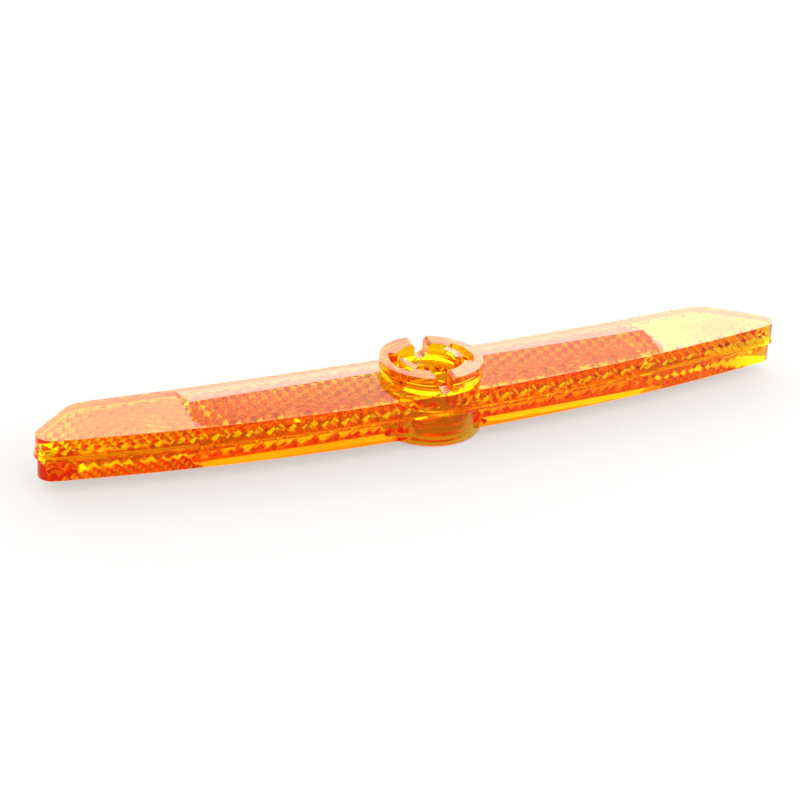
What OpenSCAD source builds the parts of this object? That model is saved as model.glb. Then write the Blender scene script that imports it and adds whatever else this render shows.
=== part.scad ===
// Bicycle wheel reflector with a twist clip that locks it on a spoke.
// Two clear amber shells are welded at mid-thickness around an air gap. A collar with two notches
// sits on the front shell and takes the spoke. A knob turns inside it and hooks over the spoke.
//
// Frame: the origin is the centre of the spoke seat, where the spoke's centreline crosses the
// clip's axis. +X runs along the reflector, -Y to its convex edge, +Z out of its front face.

/* [Reflector] */
// Length between the tips of the convex edge
lens_len = 150; // [125:1:170]
// Width at the clip
lens_w = 17.9; // [17:0.1:24]
// From the clip's axis to the convex edge
convex_reach = 9; // [8:0.1:11]
// Radius of the convex edge
convex_bow = 400; // [300:10:700]
// Radius of the concave edge
concave_bow = 1000; // [600:10:2000]
// Half of the thickness over both shells
lens_half = 3.9; // [3.4:0.1:6]
// How far each end slants back from the convex edge to the concave edge
end_slant = 13.5; // [8:0.5:20]
// Radius of the corners at the convex edge
tip_round = 3; // [1:0.5:4]
// Radius of the corners at the concave edge
heel_round = 7; // [2:0.5:9]

/* [Shells] */
// Thickness of the face
face_t = 1.5; // [1.2:0.1:2]
// Thickness of the side wall
wall_t = 1.3; // [0.9:0.1:2]
// Height of the lip above the weld
lip_h = 0.8; // [0.4:0.1:1.5]
// How far the lip stands out
lip_out = 0.3; // [0.1:0.05:0.6]
// How far the back shell's wall stands in
back_inset = 0.3; // [0.1:0.05:0.6]

/* [Raised field] */
// Height of its ridge above the face
ridge_h = 1.35; // [0.6:0.05:2]
// Half of the ridge's length
ridge_half = 46.3; // [30:0.1:50]
// Place of the ridge across the width
ridge_y = 1.6; // [-1:0.1:3]
// How far the foot of each end slope stands out past the ridge
slope_run = 1.4; // [0.6:0.1:3]
// How far the field stays inside the concave edge
field_margin = 0.6; // [0.3:0.1:2]
// How far the field stays inside the convex edge
edge_margin = 0.15; // [0.1:0.05:0.5]

/* [Collar] */
// Outer radius of the collar's head
collar_r = 9.5; // [8.8:0.1:10]
// Height of the collar above the face
collar_h = 3.5; // [3.4:0.1:6]
// Bore radius of the collar between its four blocks
recess_r = 7.8; // [7.4:0.1:8.2]
// Bore radius at the four blocks
block_r = 6.1; // [5.9:0.1:6.6]
// Half of the angle of each gap between blocks, in degrees
recess_half_angle = 33; // [20:1:36]
// Depth of the gaps between blocks
recess_depth = 2.2; // [1:0.1:2.6]
// Radius of the notch that seats the spoke
notch_r = 1.3; // [1.1:0.05:1.5]
// Angle of the spoke's line from +X, in degrees
spoke_angle = 80; // [65:1:90]
// Depth of collar left under the notch
notch_floor = 0.3; // [0.2:0.05:0.6]

/* [Knob] */
// Bore radius through both shells
well_r = 6.5; // [6:0.1:6.7]
// Wall of the knob's cup
cup_wall = 1.4; // [1:0.1:1.8]
// Floor of the knob's cup
cup_floor = 2.4; // [1.8:0.1:3]
// Width of the coin slot
slot_w = 2.2; // [1.6:0.1:2.6]
// Depth of the coin slot
slot_depth = 1.2; // [0.6:0.1:1.3]
// How far the rim stands out past the well
rim_out = 0.6; // [0.4:0.1:0.8]
// Thickness of the rim
rim_t = 0.7; // [0.5:0.1:0.9]
// Largest spoke that the hooks close over
spoke_d_max = 2.34; // [2:0.01:2.6]
// Thickness of the hooks' arms
hook_t = 0.7; // [0.6:0.1:1]
// Turn from open to locked, in degrees
turn = 58; // [40:1:60]

/* [Boss] */
// Outer radius of the boss behind the reflector
boss_r = 9.9; // [8.8:0.1:10.4]
// How far the knob stands inside the boss's flat end
knob_inset = 0.15; // [0.05:0.05:0.5]
// How far the boss stands out of the back face
boss_drop = 2.3; // [1.6:0.1:3]
// Radius of the boss's rounded edge
boss_round = 1; // [0.4:0.1:1.2]

/* [Clearances] */
// Radial gap of the knob in the well
run_gap = 0.07; // [0.03:0.01:0.1]
// Gap over and under the knob's rim
end_gap = 0.1; // [0.05:0.01:0.2]
// Gap between the hooks and the collar's blocks
hook_gap = 0.15; // [0.1:0.01:0.3]
// Gap around the collar's foot where it stands in the raised field
seat_gap = 0.05; // [0.02:0.01:0.1]

/* [Hidden] */
$fn = 96;
eps = 0.01;

// Levels, counted from the spoke's centreline
face_z = -notch_r - notch_floor;
weld_z = face_z - lens_half;
back_z = weld_z - lens_half;
boss_z = back_z - boss_drop;
collar_z = face_z + collar_h;
rim_floor_z = face_z - rim_t - 2 * end_gap;
rim_z = rim_floor_z + end_gap;
knob_z = boss_z + knob_inset;
arm_z = -notch_r + spoke_d_max + end_gap;
recess_z = collar_z - recess_depth;

// Outline. The sides meet at a sharp tip, and its round corner ends at half of the length.
concave_reach = lens_w - convex_reach;
tip_side = unit([-1, -tan(asin(lens_len / 2 / convex_bow))]);
end_side = unit([-end_slant, concave_y(lens_len / 2 - end_slant) - convex_y(lens_len / 2)]);
tip_half_angle = acos(tip_side * end_side) / 2;
round_loss = -unit(tip_side + end_side)[0] * tip_round / sin(tip_half_angle) - tip_round;
tip_x = lens_len / 2 + round_loss;
heel_x = tip_x - end_slant;
tip_reach = 2.4;
heel_reach = 1.2;
edge_steps = 28;
corner_steps = 8;

// Clip
tube_t = 1;
skirt_t = 1.3;
foot_step = 0.2;
foot_h = 1.4;
ledge_step = 0.4;
ledge_h = 1.1;
lead_in = 0.6;
rim_r = well_r + rim_out;
barrel_r = well_r - run_gap;
cup_r = barrel_r - cup_wall;
hook_r = block_r - hook_gap;
arm_in = 0.6;
arm_in_r = cup_r - arm_in;
post_step = 0.1;
slot_len = 10;
post_start = -17;
post_end = 7;
arm_end = 35;
lug_out = 0.6;
lug_half = 9;
lug_angle = 110;
stop_gap = 1;

// Arc height of an edge of radius r at distance x from its middle
function bow(x, r) = r - sqrt(r * r - x * x);
function convex_y(x) = -convex_reach + bow(x, convex_bow);
function concave_y(x) = concave_reach + bow(x, concave_bow);

// Points of a round corner at p between the sides that come from a and go to b
function unit(v) = v / norm(v);
function corner(a, p, b, r, n) =
    let (u = unit(a - p), w = unit(b - p),
         half = acos(u * w) / 2,
         centre = p + unit(u + w) * r / sin(half),
         first = p + u * r / tan(half) - centre,
         side = sign(u[0] * w[1] - u[1] * w[0]))
    [for (i = [0 : n])
        let (t = -side * (180 - 2 * half) * i / n)
        centre + [first[0] * cos(t) - first[1] * sin(t), first[0] * sin(t) + first[1] * cos(t)]];

// Closed path moved inwards by d along its corners' bisectors
function inward(path, d) =
    [for (i = [0 : len(path) - 1])
        let (n = len(path),
             u = unit(path[i] - path[(i + n - 1) % n]),
             w = unit(path[(i + 1) % n] - path[i]),
             nu = [-u[1], u[0]],
             nw = [-w[1], w[0]])
        path[i] + (nu + nw) * d / (1 + nu * nw)];

// Outline of the reflector, counterclockwise from the left end of the convex edge
convex_end = tip_x - tip_reach * tip_round;
concave_end = heel_x - heel_reach * heel_round;
right_tip = [tip_x, convex_y(tip_x)];
right_heel = [heel_x, concave_y(heel_x)];
convex_pts = [for (i = [0 : edge_steps])
    let (x = convex_end * (2 * i / edge_steps - 1)) [x, convex_y(x)]];
concave_pts = [for (i = [0 : edge_steps])
    let (x = -concave_end * (2 * i / edge_steps - 1)) [x, concave_y(x)]];
right_end = concat(
    corner(convex_pts[edge_steps], right_tip, right_heel, tip_round, corner_steps),
    corner(right_tip, right_heel, concave_pts[0], heel_round, corner_steps));
left_end = [for (i = [len(right_end) - 1 : -1 : 0]) [-right_end[i][0], right_end[i][1]]];
outline = concat(convex_pts, right_end, concave_pts, left_end);

// Straight-sided slab of the outline between two levels, d inside it
module slab(z0, z1, d = 0) {
    translate([0, 0, z0]) linear_extrude(z1 - z0) polygon(inward(outline, d));
}

module disc(r, z0, z1) {
    translate([0, 0, z0]) cylinder(r = r, h = z1 - z0);
}

// Part of a ring between two angles
module sector(r_out, r_in, z0, z1, a0, a1) {
    rotate([0, 0, a0]) translate([0, 0, z0]) rotate_extrude(angle = a1 - a0)
        translate([r_in, 0]) square([r_out - r_in, z1 - z0]);
}

// Raised field: a low roof with a straight ridge, whose long sides run down to the two edges.
// Sections run along X; the last one at each end is the foot of the end slope.
field_sections = 12;
foot_x = ridge_half + slope_run;
foot_y = -3;
root = 0.5;
module raised_field() {
    half = [for (i = [0 : field_sections]) ridge_half * (2 * i / field_sections - 1)];
    near = [for (x = half) [x, convex_y(x) + edge_margin, 0]];
    top = [for (x = half) [x, ridge_y, ridge_h]];
    far = [for (x = half) [x, concave_y(x) - field_margin, 0]];
    near_low = [for (p = near) [p[0], p[1], -root]];
    far_low = [for (p = far) [p[0], p[1], -root]];
    n = field_sections + 1;
    last = field_sections;
    bends = [for (s = [-1, 1]) for (z = [0, -root]) [s * foot_x, foot_y, z]];
    left = 5 * n;
    right = 5 * n + 2;
    strips = [for (i = [0 : last - 1])
        for (q = [[0, n], [n, 2 * n], [2 * n, 4 * n], [4 * n, 3 * n], [3 * n, 0]])
            for (t = [[q[0] + i, q[1] + i, q[0] + i + 1], [q[0] + i + 1, q[1] + i, q[1] + i + 1]]) t];
    left_cap = [
        [0, left, n], [n, left, 2 * n],
        [0, 3 * n, left + 1], [0, left + 1, left],
        [left, left + 1, 4 * n], [left, 4 * n, 2 * n],
        [left + 1, 3 * n, 4 * n]];
    right_cap = [
        [last, n + last, right], [n + last, 2 * n + last, right],
        [last, right + 1, 3 * n + last], [last, right, right + 1],
        [right, 4 * n + last, right + 1], [right, 2 * n + last, 4 * n + last],
        [right + 1, 4 * n + last, 3 * n + last]];
    polyhedron(points = concat(near, top, far, near_low, far_low, bends),
        faces = concat(strips, left_cap, right_cap));
}

// Front shell: face, side wall with the lip, raised field, and the front half of the well
module front_lens() {
    color([1, 0.55, 0.1]) difference() {
        union() {
            difference() {
                union() {
                    slab(weld_z, face_z);
                    slab(weld_z, weld_z + lip_h, -lip_out);
                }
                slab(weld_z - eps, face_z - face_t, wall_t);
            }
            translate([0, 0, face_z]) raised_field();
            disc(well_r + tube_t, weld_z, face_z);
        }
        disc(collar_r + seat_gap, face_z, collar_z);
        disc(well_r, weld_z - eps, face_z + eps);
        disc(rim_r + run_gap, rim_floor_z, face_z + eps);
        sector(rim_r + lug_out + run_gap, rim_r - rim_out / 2, rim_floor_z, face_z + eps,
            lug_angle - lug_half - stop_gap, lug_angle + lug_half + turn + stop_gap);
    }
}

// Back shell: the mirror of the front, set in a little, with the boss around the well
module back_lens() {
    color([1, 0.45, 0.08]) difference() {
        union() {
            difference() {
                union() {
                    slab(back_z, weld_z, back_inset);
                    translate([0, 0, back_z]) mirror([0, 0, 1]) raised_field_inset();
                    boss();
                }
                slab(back_z + face_t, weld_z + eps, back_inset + wall_t);
                disc(boss_r - skirt_t, boss_z + skirt_t, weld_z + eps);
            }
            disc(well_r + tube_t, boss_z, weld_z);
        }
        disc(well_r, boss_z - eps, weld_z + eps);
    }
}

module raised_field_inset() {
    intersection() {
        raised_field();
        slab(-root, ridge_h + eps, back_inset);
    }
}

module boss() {
    rotate_extrude() polygon(concat(
        [[0, weld_z], [0, boss_z]],
        [for (i = [0 : corner_steps])
            let (t = 90 * i / corner_steps)
            [boss_r - boss_round + boss_round * sin(t), boss_z + boss_round - boss_round * cos(t)]],
        [[boss_r, weld_z]]));
}

// Collar: a ring with four blocks, two gaps between them, and the two notches for the spoke
module spoke_collar() {
    color([1, 0.6, 0.12]) difference() {
        union() {
            disc(collar_r - foot_step, face_z, face_z + foot_h);
            disc(collar_r, face_z + foot_h, collar_z);
        }
        disc(block_r, face_z - eps, collar_z + eps);
        disc(block_r + ledge_step, face_z - eps, face_z + ledge_h);
        for (a = [0, 180])
            sector(recess_r, block_r - eps, recess_z, collar_z + eps,
                a - recess_half_angle, a + recess_half_angle);
        rotate([0, 0, spoke_angle]) notch();
    }
}

// Space of the spoke across the collar, with a wider mouth at the top
module notch() {
    length = 2 * collar_r + 2;
    translate([-length / 2, 0, 0]) rotate([0, 90, 0]) cylinder(r = notch_r, h = length);
    translate([-length / 2, -notch_r, 0]) cube([length, 2 * notch_r, collar_z + 1]);
    translate([-length / 2, 0, collar_z - lead_in]) rotate([90, 0, 90]) linear_extrude(length)
        polygon([[-notch_r, 0], [notch_r, 0],
            [notch_r + lead_in + eps, lead_in + eps], [-notch_r - lead_in - eps, lead_in + eps]]);
}

// Knob: a cup that turns in the well, with a rim, two hooks, a stop lug and a coin slot
module twist_knob() {
    color([1, 0.5, 0.05]) {
        difference() {
            union() {
                disc(barrel_r, knob_z, rim_z + rim_t);
                disc(rim_r, rim_z, rim_z + rim_t);
                sector(rim_r + lug_out, barrel_r, rim_z, rim_z + rim_t,
                    lug_angle - lug_half, lug_angle + lug_half);
            }
            disc(cup_r, knob_z + cup_floor, rim_z + rim_t + eps);
            translate([-slot_len / 2, -slot_w / 2, knob_z - eps])
                cube([slot_len, slot_w, slot_depth + eps]);
        }
        for (a = [0, 180]) rotate([0, 0, a]) hook();
    }
}

// Hook: a post on the cup's wall with an arm that reaches over the spoke when it is turned
module hook() {
    sector(hook_r, cup_r + post_step, rim_z + rim_t - root, arm_z + root, post_start, post_end);
    sector(hook_r, arm_in_r, arm_z, arm_z + hook_t, post_start, arm_end);
}

front_lens();
back_lens();
spoke_collar();
twist_knob();
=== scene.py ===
"""Amber bicycle wheel reflector with a twist clip: finished shells, prisms, collar, knob and stage."""

import math

import bmesh
import bpy
from mathutils import Matrix, Vector


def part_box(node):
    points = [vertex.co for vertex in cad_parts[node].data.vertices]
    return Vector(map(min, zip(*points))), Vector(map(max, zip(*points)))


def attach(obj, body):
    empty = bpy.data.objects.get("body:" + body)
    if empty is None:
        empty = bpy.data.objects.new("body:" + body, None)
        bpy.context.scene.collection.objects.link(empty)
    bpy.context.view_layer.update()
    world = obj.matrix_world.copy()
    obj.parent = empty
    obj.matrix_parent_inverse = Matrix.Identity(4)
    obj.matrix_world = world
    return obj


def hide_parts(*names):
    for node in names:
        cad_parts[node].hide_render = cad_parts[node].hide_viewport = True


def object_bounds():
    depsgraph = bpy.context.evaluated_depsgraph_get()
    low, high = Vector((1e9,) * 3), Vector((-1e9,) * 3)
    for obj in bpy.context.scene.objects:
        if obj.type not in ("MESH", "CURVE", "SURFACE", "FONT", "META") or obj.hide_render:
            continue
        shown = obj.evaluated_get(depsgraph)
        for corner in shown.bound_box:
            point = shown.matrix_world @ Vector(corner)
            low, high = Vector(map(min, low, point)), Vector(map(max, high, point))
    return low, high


bl_info = {
    "name": "Wheel Reflector",
    "version": (1, 0, 0),
    "blender": (4, 5, 0),
    "location": "View3D > Sidebar > Reflector",
    "description": "Builds the shells, prisms, collar and knob of a clip-on wheel reflector",
    "category": "Add Mesh",
}

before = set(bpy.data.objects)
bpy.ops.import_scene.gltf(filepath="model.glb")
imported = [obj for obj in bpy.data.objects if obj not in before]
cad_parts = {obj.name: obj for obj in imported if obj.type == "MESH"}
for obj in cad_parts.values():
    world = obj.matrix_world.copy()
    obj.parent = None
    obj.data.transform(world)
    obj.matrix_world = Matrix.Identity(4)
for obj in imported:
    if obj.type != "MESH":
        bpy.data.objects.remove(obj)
CAD_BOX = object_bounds()
MM = 0.001

# Vertices of a CAD mesh closer than this are one vertex
MERGE_GAP = 0.0005 * MM
# Faces of a CAD mesh that meet at less than this many degrees are one flat face
FLAT_ANGLE = 0.1
# A vertex this near to a level lies on it
LEVEL_GAP = 0.005 * MM
# Edges shorter than this are left sharp
SHORTEST_ROUND = 0.05 * MM
# A face whose normal is at least this upright counts as level
UPRIGHT = 0.97
# Thickness of the prisms' common root
ROOT_THICKNESS = 0.5 * MM
# Lowest level of the prisms, as a share of one step, so that no prism ends in its root
PRISM_START = 0.02
# Turn of the hole in the prisms, in degrees, so that its facets don't line up with the well's
HOLE_TURN = 1.1
HOLE_SEGMENTS = 96


# Sizes and colours


class ShellSizes(bpy.types.PropertyGroup):
    """Sizes of the two clear shells and of the prisms inside them"""

    face_thickness: bpy.props.FloatProperty(
        name="Face thickness", description="Thickness of each shell's face", default=1.5 * MM, unit="LENGTH"
    )
    prism_edge: bpy.props.FloatProperty(
        name="Prism edge", description="Length of a prism's edge, seen from the front",
        default=1.33 * MM, unit="LENGTH"
    )
    edge_steepness: bpy.props.FloatProperty(
        name="Edge steepness", description="Height of the prisms at the edges; 1 is a true cube corner",
        default=1.0
    )
    field_steepness: bpy.props.FloatProperty(
        name="Field steepness", description="Height of the prisms under the raised field", default=0.52
    )
    field_half: bpy.props.FloatProperty(
        name="Half field", description="Half of the length of the raised field",
        default=46.3 * MM, unit="LENGTH"
    )
    edge_bow: bpy.props.FloatProperty(
        name="Edge bow", description="Radius of the convex edge", default=400 * MM, unit="LENGTH"
    )
    steep_border: bpy.props.FloatProperty(
        name="Steep border", description="Width of the steep prisms along the convex edge", default=3.4 * MM,
        unit="LENGTH"
    )
    prism_inset: bpy.props.FloatProperty(
        name="Prism inset", description="How far the prisms start inside the outer wall",
        default=0.9 * MM, unit="LENGTH"
    )
    well_hole: bpy.props.FloatProperty(
        name="Front prism hole", description="Radius of the hole in the front prisms",
        default=7.2 * MM, unit="LENGTH"
    )
    boss_hole: bpy.props.FloatProperty(
        name="Back prism hole", description="Radius of the hole in the back prisms",
        default=8.8 * MM, unit="LENGTH"
    )
    edge_round: bpy.props.FloatProperty(
        name="Edge rounding", description="Width of the rounded shell edges", default=0.22 * MM, unit="LENGTH"
    )
    air_gap: bpy.props.FloatProperty(
        name="Air gap", description="Gap shown between pieces that touch", default=0.02 * MM, unit="LENGTH"
    )


class ClipSizes(bpy.types.PropertyGroup):
    """Sizes of the finish on the collar and the knob"""

    collar_round: bpy.props.FloatProperty(
        name="Collar rounding", description="Width of the collar's rounded edges",
        default=0.2 * MM, unit="LENGTH"
    )
    knob_round: bpy.props.FloatProperty(
        name="Knob rounding", description="Width of the knob's rounded edges",
        default=0.12 * MM, unit="LENGTH"
    )


class AmberColours(bpy.types.PropertyGroup):
    """Colours of the clear amber plastic"""

    front: bpy.props.FloatVectorProperty(
        name="Front shell", description="Colour of the front shell",
        subtype="COLOR", size=3, default=(0.87, 0.83, 0.2)
    )
    back: bpy.props.FloatVectorProperty(
        name="Back shell", description="Colour of the back shell",
        subtype="COLOR", size=3, default=(0.92, 0.81, 0.14)
    )
    collar: bpy.props.FloatVectorProperty(
        name="Collar", description="Colour of the collar", subtype="COLOR", size=3, default=(0.94, 0.74, 0.16)
    )
    knob: bpy.props.FloatVectorProperty(
        name="Knob", description="Colour of the knob", subtype="COLOR", size=3, default=(0.94, 0.78, 0.14)
    )
    sheen: bpy.props.FloatVectorProperty(
        name="Sheen", description="Colour of the reflections seen straight on", subtype="COLOR", size=3,
        default=(1.0, 0.45, 0.05)
    )
    depth: bpy.props.FloatVectorProperty(
        name="Depth", description="Colour that the plastic keeps over a long path", subtype="COLOR", size=3,
        default=(0.999, 0.925, 0.0)
    )
    density: bpy.props.FloatProperty(
        name="Density", description="How strongly the plastic colours light, per metre", default=1250.0
    )
    gloss: bpy.props.FloatProperty(
        name="Roughness", description="Roughness of the polished plastic", default=0.03, subtype="FACTOR"
    )


class StageLight(bpy.types.PropertyGroup):
    """Strengths of the studio light"""

    overhead: bpy.props.FloatProperty(
        name="Overhead", description="Strength of the white surround overhead", default=1.12
    )
    band: bpy.props.FloatProperty(
        name="Band", description="Strength of the bright band low around the object", default=3.3
    )
    left_share: bpy.props.FloatProperty(
        name="Left share", description="Share of the band's strength at the left",
        default=0.1, subtype="FACTOR"
    )
    warmth: bpy.props.FloatVectorProperty(
        name="Warmth", description="Colour of the surround",
        subtype="COLOR", size=3, default=(1.0, 0.95, 0.94)
    )
    card: bpy.props.FloatProperty(
        name="Card", description="Power of the soft light card behind the right end",
        default=0.7, unit="POWER"
    )
    floor_glow: bpy.props.FloatProperty(
        name="Floor glow", description="Light given out by the floor", default=0.45
    )
    floor_tone: bpy.props.FloatProperty(
        name="Floor tone", description="Grey of the floor before its own light", default=0.3, subtype="FACTOR"
    )
    floor_half: bpy.props.FloatProperty(
        name="Half floor", description="Half of the floor's width", default=4.0, unit="LENGTH"
    )
    card_size: bpy.props.FloatProperty(
        name="Card size", description="Width of the soft light card", default=0.35, unit="LENGTH"
    )
    card_distance: bpy.props.FloatProperty(
        name="Card distance", description="Distance of the card from the middle, along the floor",
        default=1.1,
        unit="LENGTH"
    )


class CameraPlace(bpy.types.PropertyGroup):
    """Where the camera stands and how it is turned"""

    turn: bpy.props.FloatProperty(
        name="Turn", description="Turn around the object from its near edge, in degrees", default=-27.832
    )
    height: bpy.props.FloatProperty(
        name="Height", description="Height above the floor, in degrees", default=25.157
    )
    roll: bpy.props.FloatProperty(name="Roll", description="Roll of the camera, in degrees", default=3.277)
    distance: bpy.props.FloatProperty(
        name="Distance", description="Distance from the middle", default=450.55 * MM, unit="LENGTH"
    )
    side: bpy.props.FloatProperty(
        name="Side", description="Shift of the camera to its right", default=-5.563 * MM, unit="LENGTH"
    )
    rise: bpy.props.FloatProperty(
        name="Rise", description="Shift of the camera upwards", default=-6.098 * MM, unit="LENGTH"
    )
    focal_length: bpy.props.FloatProperty(
        name="Focal length", description="Focal length in millimetres, on a sensor 36 mm wide", default=111.51
    )


# Turn of the light card from straight behind the object, and its height, in degrees
CARD_TURN, CARD_HEIGHT = 38, 25

# Light paths: enough for the many walls of the prisms
MOST_BOUNCES, MOST_REFLECTIONS = 40, 16

# Brightness of the surround at the sine of each elevation, from overhead (0) to the band (1)
BAND = [(0.0, (0.5,) * 3), (0.85, (0.0,) * 3), (0.15, (0.6,) * 3), (0.42, (1.0,) * 3), (0.63, (0.75,) * 3)]

# Shader nodes


class Value:
    """A number on a node socket; arithmetic on it adds Math nodes."""

    def __init__(self, finish, socket):
        self.finish, self.socket = finish, socket

    def _math(self, operation, a, b):
        return self.finish.node("ShaderNodeMath", {"operation": operation}, {0: a, 1: b})

    def __add__(self, other):
        return self._math("ADD", self, other)

    __radd__ = __add__

    def __mul__(self, other):
        return self._math("MULTIPLY", self, other)

    __rmul__ = __mul__


class Finish:
    """A material or world whose nodes are added one at a time."""

    def __init__(self, owner):
        owner.use_nodes = True
        self.owner, self.tree = owner, owner.node_tree
        self.tree.nodes.clear()

    def node(self, kind, settings=None, inputs=None, output=0):
        made = self.tree.nodes.new(kind)
        for name, value in (settings or {}).items():
            if name == "stops":
                self._stops(made.color_ramp, value)
            else:
                setattr(made, name, value)
        for name, value in (inputs or {}).items():
            if isinstance(value, Value):
                self.tree.links.new(value.socket, made.inputs[name])
            else:
                made.inputs[name].default_value = value
        return Value(self, made.outputs[output]) if made.outputs else made

    def _stops(self, ramp, stops):
        for i, (place, colour) in enumerate(stops):
            stop = ramp.elements[i] if i < 2 else ramp.elements.new(place)
            stop.position, stop.color = place, (*colour, 1.0)

    def noise(self, place, size, detail=2.0, stretch=(1.0, 1.0, 1.0)):
        """Noise whose blotches are about size metres across, stretched along each axis."""
        scaled = self.node(
            "ShaderNodeMapping", {}, {"Vector": place, "Scale": [1.0 / (size * s) for s in stretch]}
        )
        return self.node("ShaderNodeTexNoise", {}, {"Vector": scaled, "Scale": 1.0, "Detail": detail})

    def mix(self, factor, a, b):
        """Colour between a and b."""
        return self.node(
            "ShaderNodeMix", {"data_type": "RGBA"}, {0: factor, 6: colour4(a), 7: colour4(b)}, output=2
        )


def colour4(colour):
    return colour if isinstance(colour, Value) else (*colour, 1.0)


def shaded(colour, factor):
    return tuple(c * f for c, f in zip(colour, factor))


def amber_plastic(name, colour, colours):
    """Clear moulded plastic with faint flow lines, a slow drift of colour and light handling marks."""
    finish = Finish(bpy.data.materials.new(name))
    place = finish.node("ShaderNodeTexCoord", {}, {}, output="Object")
    # blotch sizes: slow drift of the colour, flow lines along the length, waves, scratches and smudges
    drift = finish.noise(place, 14 * MM, 1.0)
    flow = finish.noise(place, 0.9 * MM, 3.0, stretch=(14, 1, 1))
    peel = finish.noise(place, 2.2 * MM, 1.0)
    marks = finish.noise(place, 0.5 * MM, 4.0, stretch=(6, 1, 2))
    smudge = finish.noise(place, 7 * MM, 3.0)
    deep = shaded(colour, (0.97, 0.82, 0.6))
    tint = finish.mix(drift, deep, colour)
    worn = finish.node(
        "ShaderNodeValToRGB", {"stops": [(0.6, (0, 0, 0)), (0.72, (1, 1, 1))]}, {"Fac": marks * smudge * 2.0}
    )
    height = flow * 0.35 + peel * 0.6 + marks * 0.05
    bump = finish.node("ShaderNodeBump", {}, {"Strength": 0.25, "Distance": 0.03 * MM, "Height": height})
    shader = finish.node(
        "ShaderNodeBsdfPrincipled",
        {},
        {
            "Base Color": tint,
            "Roughness": colours.gloss + smudge * 0.03 + worn * 0.1,
            "Normal": bump,
            "IOR": 1.49,
            "Specular Tint": colour4(colours.sheen),
            "Transmission Weight": 1.0,
        },
    )
    absorption = finish.node(
        "ShaderNodeVolumeAbsorption", {}, {"Color": colour4(colours.depth), "Density": colours.density}
    )
    finish.node("ShaderNodeOutputMaterial", {}, {"Surface": shader, "Volume": absorption})
    return finish.owner


# Shapes


def node_shape(node):
    """Mesh of a CAD node with its loose triangles merged and its flat faces joined."""
    bm = bmesh.new()
    bm.from_mesh(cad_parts[node].data)
    bmesh.ops.remove_doubles(bm, verts=bm.verts, dist=MERGE_GAP)
    bmesh.ops.dissolve_limit(
        bm,
        angle_limit=math.radians(FLAT_ANGLE),
        verts=bm.verts,
        edges=bm.edges,
        use_dissolve_boundaries=False,
    )
    return bm


def turned(edge):
    """Angle between an edge's two faces."""
    return edge.calc_face_angle(0.0)


def round_edges(bm, width, least=35.0):
    """Rounds the edges whose faces meet at a clear angle."""
    edges = [e for e in bm.edges if turned(e) > math.radians(least) and e.calc_length() > SHORTEST_ROUND]
    bmesh.ops.bevel(
        bm,
        geom=edges,
        offset=width,
        offset_type="OFFSET",
        segments=2,
        profile=0.5,
        affect="EDGES",
        clamp_overlap=True,
        material=-1,
    )


def shade(bm, curve=20.0, fold=3.0):
    """Smooth shading on the curved walls, with every fold of the faces kept sharp."""
    bm.normal_update()
    for face in bm.faces:
        face.smooth = True
    for edge in bm.edges:
        flat = all(abs(f.normal.z) > UPRIGHT for f in edge.link_faces)
        edge.smooth = turned(edge) < math.radians(fold if flat else curve)


def lift_level(bm, level, shift):
    """Moves the vertices on one level by a small shift, to leave a gap to the piece beyond."""
    for v in bm.verts:
        if abs(v.co.z - level) < LEVEL_GAP:
            v.co.z += shift


def piece(name, bm, material, body, slot, *nodes):
    """Object from a finished mesh, riding on its body and standing for CAD nodes."""
    mesh = bpy.data.meshes.new(name)
    bm.to_mesh(mesh)
    bm.free()
    made = bpy.data.objects.new(name, mesh)
    bpy.context.scene.collection.objects.link(made)
    made.data.materials.clear()
    made.data.materials.append(material)
    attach(made, body)
    if nodes:
        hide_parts(*nodes)
    return made


def combined(bm, other, operation):
    """Boolean of two closed meshes, as a new mesh."""
    objects = []
    for shape in (bm, other):
        mesh = bpy.data.meshes.new("part")
        shape.to_mesh(mesh)
        shape.free()
        objects.append(bpy.data.objects.new("part", mesh))
        bpy.context.scene.collection.objects.link(objects[-1])
    join = objects[0].modifiers.new("join", "BOOLEAN")
    join.object, join.operation, join.solver = objects[1], operation, "EXACT"
    ready = objects[0].evaluated_get(bpy.context.evaluated_depsgraph_get())
    result = bmesh.new()
    result.from_mesh(ready.to_mesh())
    ready.to_mesh_clear()
    for o in objects:
        mesh = o.data
        bpy.data.objects.remove(o)
        bpy.data.meshes.remove(mesh)
    return result


def outline_plug(node, level, inset, low, high):
    """Solid with the node's outline at a level, inset, between two heights."""
    bm = node_shape(node)
    bmesh.ops.bisect_plane(
        bm,
        geom=bm.verts[:] + bm.edges[:] + bm.faces[:],
        plane_co=(0, 0, level),
        plane_no=(0, 0, 1),
        clear_inner=True,
        clear_outer=True,
    )
    start = max(bm.verts, key=lambda v: v.co.x)
    loop, found = [start], {start}
    while loop:
        for e in loop.pop().link_edges:
            for v in e.verts:
                if v not in found:
                    found.add(v)
                    loop.append(v)
    bmesh.ops.delete(bm, geom=[v for v in bm.verts if v not in found], context="VERTS")
    face = bmesh.ops.contextual_create(bm, geom=bm.edges[:])["faces"][0]
    rim = bmesh.ops.inset_region(bm, faces=[face], thickness=inset, use_boundary=True, use_even_offset=True)
    bmesh.ops.delete(bm, geom=rim["faces"], context="FACES")
    for v in bm.verts:
        v.co.z = low
    raised = bmesh.ops.extrude_face_region(bm, geom=bm.faces[:])["geom"]
    for v in raised:
        if isinstance(v, bmesh.types.BMVert):
            v.co.z = high
    bmesh.ops.recalc_face_normals(bm, faces=bm.faces)
    return bm


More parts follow.
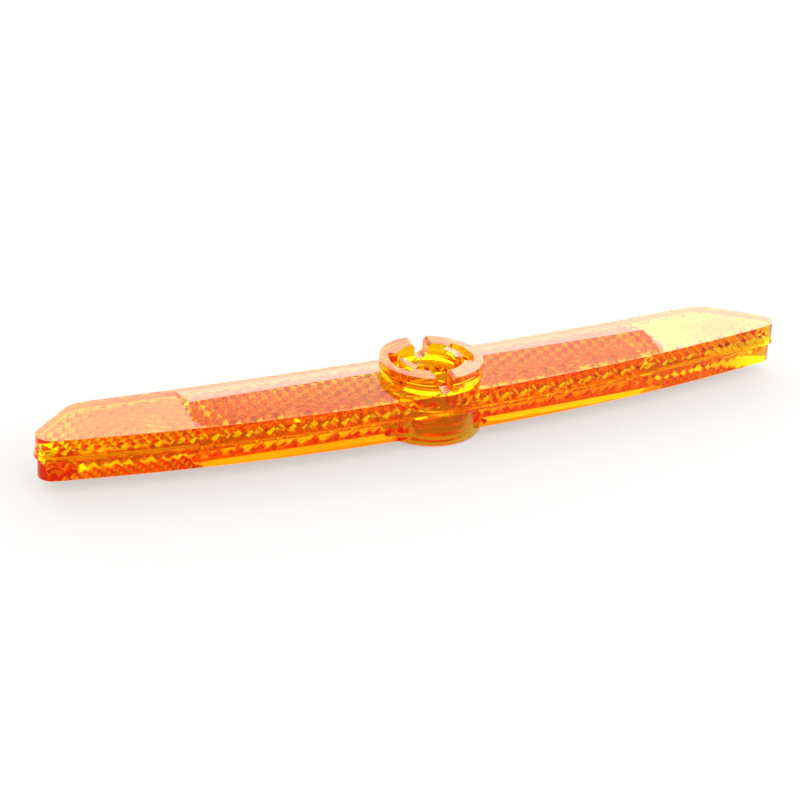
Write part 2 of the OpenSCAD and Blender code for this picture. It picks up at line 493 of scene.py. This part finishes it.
def steepness(sizes, x, y, near_edge, way):
    """Share of a cube corner's height: low under the raised field, full along the edge and at the ends."""
    from_edge = y - near_edge - x * x / (2 * sizes.edge_bow)
    if way > 0 or abs(x) > sizes.field_half or from_edge < sizes.steep_border:
        return sizes.edge_steepness
    return sizes.field_steepness


def prism_slab(low, high, root, sizes, way):
    """Slab with a field of three-sided prisms on one side; way is -1 for peaks that hang down."""
    edge = sizes.prism_edge
    row_gap = edge * math.sqrt(0.75)
    step = edge * math.sqrt(0.5)
    rows = math.ceil((high.y - low.y) / row_gap) + 2
    columns = math.ceil((high.x - low.x) / edge) + 2
    bm = bmesh.new()
    bmesh.ops.create_grid(bm, x_segments=columns, y_segments=rows, size=0.5)
    for v in bm.verts:
        i, j = round((v.co.x + 0.5) * columns), round((v.co.y + 0.5) * rows)
        x = edge * (i - columns / 2 + (j % 2) / 2)
        y = (low.y + high.y) / 2 + row_gap * (j - rows / 2)
        level = (i - j // 2 + 2 * j) % 3 + PRISM_START
        v.co = (x, y, root + way * step * level * steepness(sizes, x, y, low.y, way))
    for face in bm.faces[:]:
        a, b, c, d = face.verts
        ends = (a, c) if (a.co - c.co).xy.length < (b.co - d.co).xy.length else (b, d)
        bmesh.utils.face_split(face, *ends)
    raised = bmesh.ops.extrude_face_region(bm, geom=bm.faces[:])["geom"]
    for v in raised:
        if isinstance(v, bmesh.types.BMVert):
            v.co.z = root - way * ROOT_THICKNESS
    bmesh.ops.recalc_face_normals(bm, faces=bm.faces)
    return bm


def prisms(node, sizes, root, way, hole):
    """Field of prisms cut to the inside of a shell, with a hole around the well."""
    low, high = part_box(node)
    level = (low.z + high.z) / 2
    slab = prism_slab(low, high, root, sizes, way)
    plug = outline_plug(node, level, sizes.prism_inset, low.z - MM, high.z + MM)
    block = combined(slab, plug, "INTERSECT")
    core = bmesh.new()
    bmesh.ops.create_cone(
        core, cap_ends=True, segments=HOLE_SEGMENTS, radius1=hole, radius2=hole, depth=high.z - low.z + 4 * MM
    )
    bmesh.ops.translate(core, verts=core.verts, vec=(0, 0, level))
    bmesh.ops.rotate(core, verts=core.verts, matrix=Matrix.Rotation(math.radians(HOLE_TURN), 3, "Z"))
    return combined(block, core, "DIFFERENCE")


# Operators


class REFLECTOR_OT_front_shell(bpy.types.Operator):
    """Front shell with its prisms"""

    bl_idname = "reflector.front_shell"
    bl_label = "Front Shell"

    def execute(self, context):
        sizes, colours = context.scene.shell_sizes, context.scene.amber_colours
        face_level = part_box("spoke_collar")[0].z
        bm = node_shape("front_lens")
        round_edges(bm, sizes.edge_round)
        field = prisms("front_lens", sizes, face_level - sizes.face_thickness, -1, sizes.well_hole)
        bm = combined(bm, field, "UNION")
        shade(bm)
        material = amber_plastic("front_amber", colours.front, colours)
        piece("front_shell", bm, material, "reflector", "amber_front", "front_lens")
        return {"FINISHED"}


class REFLECTOR_OT_back_shell(bpy.types.Operator):
    """Back shell with its prisms and its boss"""

    bl_idname = "reflector.back_shell"
    bl_label = "Back Shell"

    def execute(self, context):
        sizes, colours = context.scene.shell_sizes, context.scene.amber_colours
        weld_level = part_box("front_lens")[0].z
        face_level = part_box("spoke_collar")[0].z
        back_level = 2 * weld_level - face_level
        bm = node_shape("back_lens")
        round_edges(bm, sizes.edge_round)
        field = prisms("back_lens", sizes, back_level + sizes.face_thickness, 1, sizes.boss_hole)
        bm = combined(bm, field, "UNION")
        lift_level(bm, weld_level, -sizes.air_gap)
        shade(bm)
        material = amber_plastic("back_amber", colours.back, colours)
        piece("back_shell", bm, material, "reflector", "amber_back", "back_lens")
        return {"FINISHED"}


class REFLECTOR_OT_clip(bpy.types.Operator):
    """Collar that takes the spoke, and the knob that turns inside it"""

    bl_idname = "reflector.clip"
    bl_label = "Collar and Knob"

    def execute(self, context):
        shells, sizes = context.scene.shell_sizes, context.scene.clip_sizes
        colours = context.scene.amber_colours
        bm = node_shape("spoke_collar")
        round_edges(bm, sizes.collar_round)
        lift_level(bm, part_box("spoke_collar")[0].z, shells.air_gap)
        shade(bm)
        material = amber_plastic("collar_amber", colours.collar, colours)
        piece("collar", bm, material, "reflector", "amber_collar", "spoke_collar")
        bm = node_shape("twist_knob")
        round_edges(bm, sizes.knob_round)
        shade(bm)
        material = amber_plastic("knob_amber", colours.knob, colours)
        piece("knob_cup", bm, material, "knob", "amber_knob", "twist_knob")
        return {"FINISHED"}


class REFLECTOR_OT_stage(bpy.types.Operator):
    """Pale floor, soft white surround and camera"""

    bl_idname = "reflector.stage"
    bl_label = "Stage"

    def execute(self, context):
        light = context.scene.stage_light
        floor_level = CAD_BOX[0][2]
        bm = bmesh.new()
        bmesh.ops.create_grid(bm, x_segments=1, y_segments=1, size=light.floor_half)
        bmesh.ops.translate(bm, verts=bm.verts, vec=(0, 0, floor_level))
        mesh = bpy.data.meshes.new("floor")
        bm.to_mesh(mesh)
        bm.free()
        floor = bpy.data.objects.new("floor", mesh)
        context.scene.collection.objects.link(floor)
        finish = Finish(bpy.data.materials.new("pale_floor"))
        shader = finish.node(
            "ShaderNodeBsdfPrincipled",
            {},
            {
                "Base Color": (light.floor_tone,) * 3 + (1.0,),
                "Roughness": 0.9,
                "Emission Color": (1.0, 1.0, 1.0, 1.0),
                "Emission Strength": light.floor_glow,
            },
        )
        finish.node("ShaderNodeOutputMaterial", {}, {"Surface": shader})
        floor.data.materials.append(finish.owner)

        world = bpy.data.worlds.new("white_tent")
        context.scene.world = world
        tent = Finish(world)
        place = tent.node("ShaderNodeTexCoord", {}, {}, output="Generated")
        height = tent.node("ShaderNodeSeparateXYZ", {}, {"Vector": place}, output="Z")
        glow = tent.node("ShaderNodeValToRGB", {"stops": BAND}, {"Fac": height})
        left = tent.node("ShaderNodeSeparateXYZ", {}, {"Vector": place}, output="X")
        side = tent.node(
            "ShaderNodeMapRange",
            {},
            {"Value": left, "From Min": -0.9, "From Max": 0.1, "To Min": light.left_share},
        )
        strength = glow * side * (light.band - light.overhead) + light.overhead
        shader = tent.node("ShaderNodeBackground", {}, {"Color": colour4(light.warmth), "Strength": strength})
        tent.node("ShaderNodeOutputWorld", {}, {"Surface": shader})

        card = bpy.data.lights.new("back_card", "AREA")
        card.shape, card.size, card.energy = "SQUARE", light.card_size, light.card
        card_object = bpy.data.objects.new("back_card", card)
        turn, rise = math.radians(CARD_TURN), math.radians(CARD_HEIGHT)
        away = Vector((math.sin(turn), math.cos(turn), math.tan(rise)))
        facing = away.to_track_quat("Z", "Y").to_matrix().to_4x4()
        card_object.matrix_world = Matrix.Translation(away * light.card_distance) @ facing
        context.scene.collection.objects.link(card_object)

        self.camera(context)
        context.scene.view_settings.view_transform = "Standard"
        context.scene.cycles.max_bounces = MOST_BOUNCES
        context.scene.cycles.transmission_bounces = MOST_BOUNCES
        context.scene.cycles.glossy_bounces = MOST_REFLECTIONS
        return {"FINISHED"}

    def camera(self, context):
        place = context.scene.camera_place
        azimuth, elevation, roll = (math.radians(a) for a in (place.turn, place.height, place.roll))
        back = Vector(
            (
                math.sin(azimuth) * math.cos(elevation),
                -math.cos(azimuth) * math.cos(elevation),
                math.sin(elevation),
            )
        )
        level_right = Vector((math.cos(azimuth), math.sin(azimuth), 0))
        level_up = back.cross(level_right)
        right = math.cos(roll) * level_right + math.sin(roll) * level_up
        up = -math.sin(roll) * level_right + math.cos(roll) * level_up
        data = bpy.data.cameras.new("camera")
        data.sensor_width, data.lens = 36.0, place.focal_length
        data.clip_start, data.clip_end = 0.01, 20.0
        made = bpy.data.objects.new("camera", data)
        matrix = Matrix((right, up, back)).transposed().to_4x4()
        matrix.translation = back * place.distance + right * place.side + up * place.rise
        made.matrix_world = matrix
        context.scene.collection.objects.link(made)
        context.scene.camera = made


class REFLECTOR_PT_panel(bpy.types.Panel):
    """Lists the sizes, the colours and the pieces"""

    bl_label = "Wheel Reflector"
    bl_idname = "REFLECTOR_PT_panel"
    bl_space_type = "VIEW_3D"
    bl_region_type = "UI"
    bl_category = "Reflector"

    def draw(self, context):
        for group in (name for name, _ in GROUPS):
            settings = getattr(context.scene, group)
            box = self.layout.box()
            for name in settings.__annotations__:
                box.prop(settings, name)
        for operator in OPERATORS:
            self.layout.operator(operator.bl_idname)


GROUPS = (
    ("shell_sizes", ShellSizes),
    ("clip_sizes", ClipSizes),
    ("amber_colours", AmberColours),
    ("stage_light", StageLight),
    ("camera_place", CameraPlace),
)
OPERATORS = (
    REFLECTOR_OT_front_shell,
    REFLECTOR_OT_back_shell,
    REFLECTOR_OT_clip,
    REFLECTOR_OT_stage,
)


def register():
    for name, group in GROUPS:
        bpy.utils.register_class(group)
        setattr(bpy.types.Scene, name, bpy.props.PointerProperty(type=group))
    for operator in OPERATORS:
        bpy.utils.register_class(operator)
    bpy.utils.register_class(REFLECTOR_PT_panel)


def unregister():
    bpy.utils.unregister_class(REFLECTOR_PT_panel)
    for operator in reversed(OPERATORS):
        bpy.utils.unregister_class(operator)
    for name, group in reversed(GROUPS):
        delattr(bpy.types.Scene, name)
        bpy.utils.unregister_class(group)


def main():
    register()
    bpy.ops.reflector.front_shell()
    bpy.ops.reflector.back_shell()
    bpy.ops.reflector.clip()
    bpy.ops.reflector.stage()


if __name__ == "__main__":
    main()
